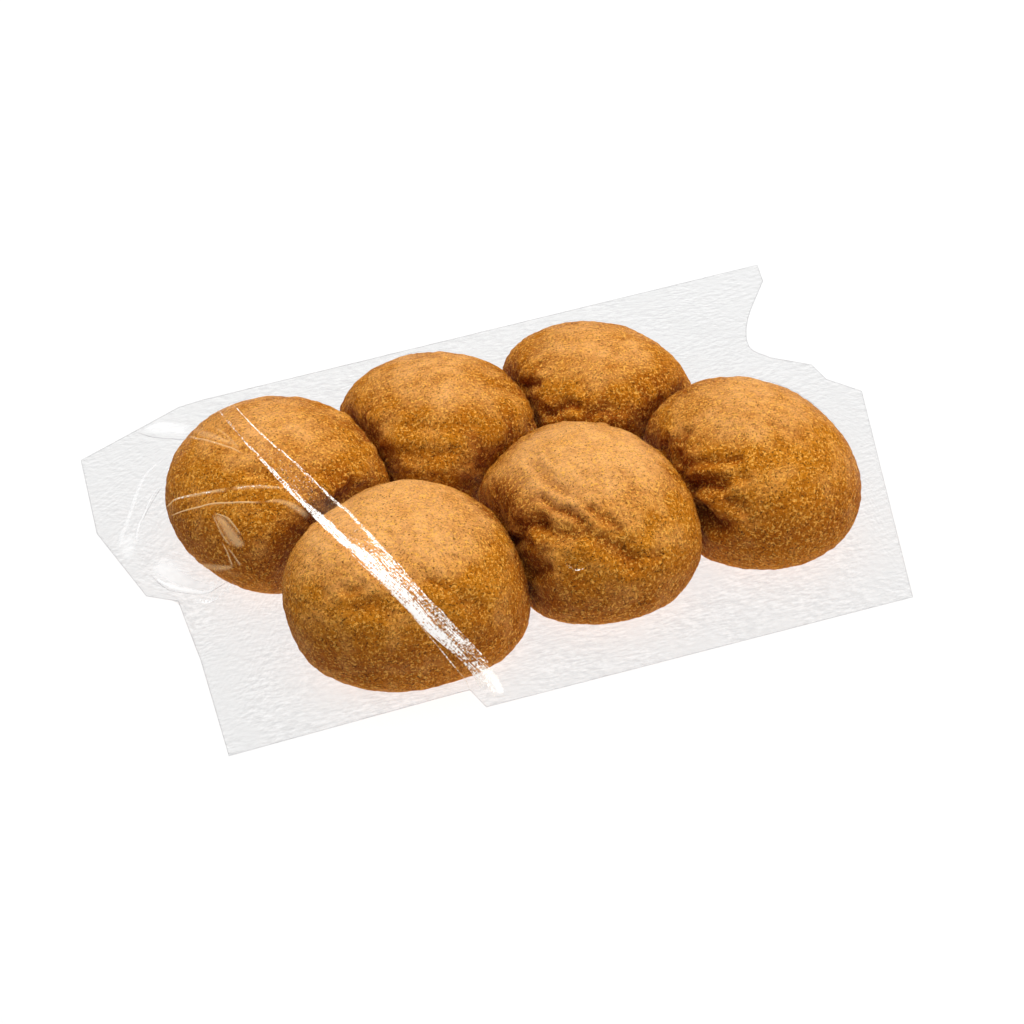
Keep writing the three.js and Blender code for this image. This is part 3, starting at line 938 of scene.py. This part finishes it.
# %% Colours of the crust
CRUST_GOLD, CRUST_BROWN, CRUST_TAN = colour("#dc820e"), colour("#b4630c"), colour("#d0831a")
CRUST_SHEEN, CRUST_FOLD = colour("#f2b068"), colour("#8e4006")
BRAN_PALE, BRAN_DARK = colour("#f6b450"), colour("#4a2608")
coats = [
    (add("MapRange", crown, 0.16, 0.40), CRUST_BROWN),   # painted shade: the sides darker than the foot
    (add("MapRange", crown, 0.42, 0.78), CRUST_TAN),   # painted light: the shoulder lighter than the sides
    (add("MapRange", mottle, 0.60, 0.35, 0.0, 0.4), CRUST_BROWN),   # broad darker patches
    # painted sheen on the crown
    (painted_sheen, CRUST_SHEEN),
    # painted shade in the folds; the same colour also makes the real dark specks
    (fold, CRUST_FOLD),
    (specks, CRUST_FOLD),
    (add("MapRange", grain, 0.53, 0.64, 0.0, 0.4), BRAN_PALE),   # endosperm
    (fibres(1.5, 0.52, 0.9), BRAN_PALE),
    (dark_fibres, BRAN_DARK),
    (add("MapRange", bran, 0.64, 0.67, 0.0, 0.9), BRAN_DARK),   # flecks
]
skin = CRUST_GOLD
for share, coat in coats:
    skin = add("Mix", share, skin, coat, data_type="RGBA")
bump = add("Bump", Height=grain, Strength=1.0, Distance=0.8 * MM)
add("OutputMaterial", add("BsdfPrincipled", Base_Color=skin, Roughness=0.75, IOR=1.4,
                          Specular_IOR_Level=0.15, Normal=bump))
for piece in rolls:
    piece.data.materials.append(crust)
print("the crust has", len(coats), "coats of colour")

# %% [markdown]
# ## Polypropylene film
#
# Cast polypropylene film is clear and glossy. A thin sheet takes away a little light, and reflects
# a few per cent of it, more at a glancing angle. This film has short dashes pressed in along the
# web, and their light and dark sides are painted into how much light it lets through. The glints
# along its creases are painted white, as painted highlights and reflections. One function makes
# clear film, and another lays the painted white over it.

# %% The painted shade of the dashes and the painted highlights of the creases
FILM_TINT, EMBOSS_SHADE = 0.915, 0.06   # share of the light that one sheet lets through, and swing of the painted shade of the dashes
# Colours of the painted highlights: white, and warm where a crust lies below.
WHITE, WARM = colour("#ffffff"), colour("#ffd8a0")


def emboss_shading(add, place):
    """Share of the light that gets through. One pattern is shifted against itself, so that each
    dash has a painted light side and a painted dark side, and there are smooth places between them."""
    run = add("VectorMath", place, (0.45, 1, 1), operation="MULTIPLY")
    aside = add("VectorMath", run, (0.1 * MM, 0.4 * MM, 0), operation="ADD")
    dashes = add("Math", add("TexNoise", run, PER_MM / 1.8, 3.0),
                 add("TexNoise", aside, PER_MM / 1.8, 3.0), operation="SUBTRACT")
    depth = add("MapRange", add("TexNoise", place, PER_MM / 14), 0.38, 0.55, 0.3, 1.0)
    dashes = add("Math", dashes, depth, operation="MULTIPLY")
    return add("MapRange", dashes, -0.08, 0.08, FILM_TINT - EMBOSS_SHADE, FILM_TINT + EMBOSS_SHADE)


def with_creases(add, place, sheet):
    """The sheet with its painted highlight and reflection, in grit and streaks along the crease."""
    glint, reflection, over_crust, along, across = [
        add("Attribute", attribute_name=layer, output="Fac") for layer in STRIP_LAYERS]
    on_strip = add("CombineXYZ", add("Math", along, 7.0, operation="DIVIDE"),
                   add("Math", across, 0.5, operation="DIVIDE"))
    streaks = add("MapRange", add("TexNoise", on_strip, 1.0, 2.0), 0.32, 0.68, 0.0, 0.48)
    grit = add("TexNoise", place, PER_MM / 0.8, 2.0, 0.7)
    grit = add("MapRange", grit, 0.32, 0.68, 0.0, 0.52)
    glint_gaps = add("Math", grit, streaks, operation="ADD")
    glint_mask = add("MapRange", add("Math", glint, glint_gaps, operation="SUBTRACT"),
                  -0.08, 0.14, 0.0, 0.95)
    # A crease's painted highlight is tinted warm where a crust lies close below it, as painted warm
    # light.
    glint_tint = add("Mix", over_crust, WHITE, WARM, data_type="RGBA")
    glint_white = add("BsdfPrincipled", Roughness=0.35, IOR=1.49,
                 Base_Color=add("Mix", glint_mask, glint_tint, WHITE, data_type="RGBA"))
    return add("MixShader", add("Math", reflection, glint_mask, operation="MAXIMUM"), sheet, glint_white)


# %% The films
def film_material(name, tint=None, has_creases=False):
    material, add = new_material(name)
    place = add("TexCoord", output="Object")
    bump = add("Bump", Height=add("TexNoise", place, PER_MM / 4, 3.0), Strength=0.3,
               Distance=0.3 * MM)
    clear = add("BsdfTransparent", Color=tint or emboss_shading(add, place))
    gloss = add("BsdfGlossy", Roughness=0.08, Normal=bump)
    facing = add("LayerWeight", Blend=0.5, Normal=bump, output="Facing")
    mirror_share = add("MapRange", add("Math", facing, 5.0, operation="POWER"), 0, 1, 0.004, 0.14)
    sheet = add("MixShader", mirror_share, clear, gloss)
    add("OutputMaterial", with_creases(add, place, sheet) if has_creases else sheet)
    return material


creased = film_material("creased_polypropylene_film", (0.99, 0.99, 0.99, 1), has_creases=True)
for piece, film in [
    (film_bag, film_material("embossed_polypropylene_film")),
    (film_pleat, creased),
    (film_creases, creased),
    (film_edge, film_material("folded_polypropylene_film", (0.88, 0.88, 0.88, 1))),
]:
    piece.data.materials.append(film)
    piece.visible_shadow = False   # so little light is lost that no shadow shows
    print(piece.name, "is", film.name)

# %% [markdown]
# ## Floor, light and camera
#
# The photo is a cut-out on white. So the floor is pale paper with a lamp of its own, and the bag
# casts no shadow on it. A wide softbox overhead lights the bag. A small one low on the right picks
# out the wrinkles, and a faint one below, as in a light table, keeps the film's margin pale. Light
# linking keeps the floor's lamp and the bag's lamps apart.

# %% Floor and surroundings
FLOOR_HALF = 6   # metres from the middle to each side
floor_mesh = bmesh.new()
bmesh.ops.create_grid(floor_mesh, x_segments=1, y_segments=1, size=FLOOR_HALF)
floor = new_piece("floor", floor_mesh)
floor.data.transform(Matrix.Translation((0, 0, -0.2 * MM)))
paper, add = new_material("pale_paper")
add("OutputMaterial", add("BsdfPrincipled", Base_Color=colour("#b4b4b4"), Roughness=0.9))
floor.data.materials.append(paper)

world = bpy.data.worlds.new("studio")
bpy.context.scene.world = world
world.use_nodes = True
background = world.node_tree.nodes["Background"].inputs
background["Color"].default_value = (1, 1, 1, 1)
background["Strength"].default_value = 0.28


# %% Lamps
def set_up(name, data, azimuth, elevation, distance, aim=Vector((0, 0, 0))):
    """An object that looks at the aim, with angles in degrees and the distance in metres."""
    a, e = math.radians(azimuth), math.radians(elevation)
    back = Vector((math.sin(a) * math.cos(e), -math.cos(a) * math.cos(e), math.sin(e)))
    placed = bpy.data.objects.new(name, data)
    placed.location = aim + back * distance
    placed.rotation_euler = back.to_track_quat("Z", "Y").to_euler()
    bpy.context.scene.collection.objects.link(placed)
    return placed


floor_only = bpy.data.collections.new("floor_only")
floor_only.objects.link(floor)
all_but_floor = bpy.data.collections.new("all_but_floor")
all_but_floor.objects.link(floor)
all_but_floor.collection_objects[0].light_linking.link_state = "EXCLUDE"
LAMPS = [
    # name, azimuth, elevation, distance, width, power, what it lights
    ("softbox_overhead", 150, 80, 2.5, 2.4, 112, all_but_floor),
    ("softbox_right", 60, 15, 2.0, 1.0, 16, all_but_floor),
    ("light_table", 0, -90, 0.6, 1.2, 2.8, all_but_floor),
    ("softbox_floor", 150, 82, 2.5, 1.2, 140, floor_only),
]
for name, azimuth, elevation, distance, width, power, lit in LAMPS:
    light = bpy.data.lights.new(name, "AREA")
    light.size, light.energy = width, power
    lamp = set_up(name, light, azimuth, elevation, distance)
    lamp.visible_glossy = False   # the film and the crust don't mirror it
    lamp.light_linking.receiver_collection = lit
    lamp.light_linking.blocker_collection = lit
print(len(LAMPS), "lamps")

# %% Camera
AIM = Vector((-0.0004, 0.001, 0))
camera = set_up("camera", bpy.data.cameras.new("camera"), -18, 40, 0.8, AIM)
camera.data.lens, camera.data.sensor_width = 70, 36
bpy.context.scene.camera = camera
bpy.context.scene.view_settings.view_transform = "Standard"
